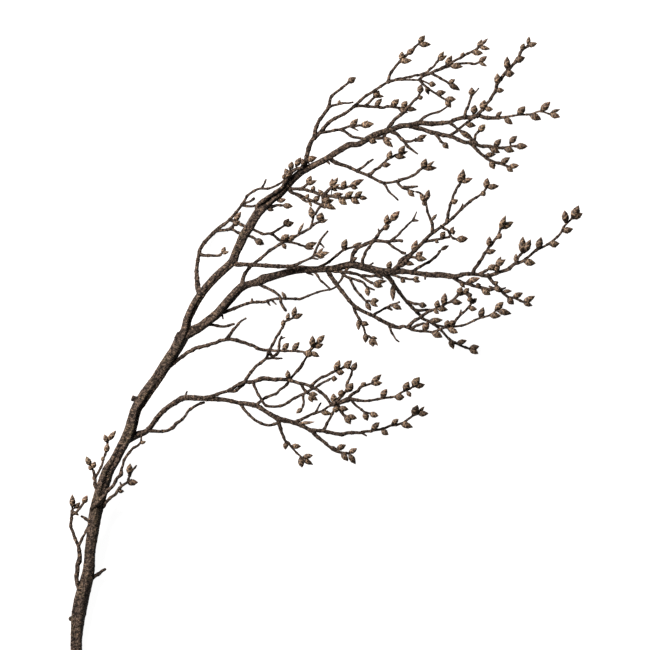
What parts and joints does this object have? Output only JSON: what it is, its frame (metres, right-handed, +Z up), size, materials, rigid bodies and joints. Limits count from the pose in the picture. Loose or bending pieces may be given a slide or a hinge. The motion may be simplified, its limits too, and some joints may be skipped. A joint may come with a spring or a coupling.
{
  "type": "budding branch",
  "caption": "Cut leafless branch with forking sprays of twigs and pointed swollen buds, lying on a surface.",
  "frame": {"origin": "middle of the branch's outline, on the surface that it lies on", "axes": "+Z up from the surface, +Y from the cut end towards the tip, +X towards the side that the sprays spread to"},
  "size_m": [0.5132, 0.6234, 0.0507],
  "materials": {
    "old_bark": "grey-brown bark with pale lenticels and dark ring scars",
    "twig_bark": "smooth brown young bark, buds with tan-edged scales"
  },
  "bodies": {
    "root": {"main_stem": "old_bark", "low_left_spray": "twig_bark", "left_cluster": "twig_bark", "lower_limb": "twig_bark", "inner_twig": "twig_bark", "middle_limb": "old_bark", "lower_right_spray": "twig_bark", "under_right_spray": "twig_bark", "up_limb": "twig_bark", "right_upper_twig": "twig_bark", "left_arch": "twig_bark", "dense_spray": "twig_bark", "top_left_limb": "twig_bark", "right_twig": "twig_bark", "tip_fork": "twig_bark", "top_right_twig": "twig_bark"}
  },
  "joints": []
}
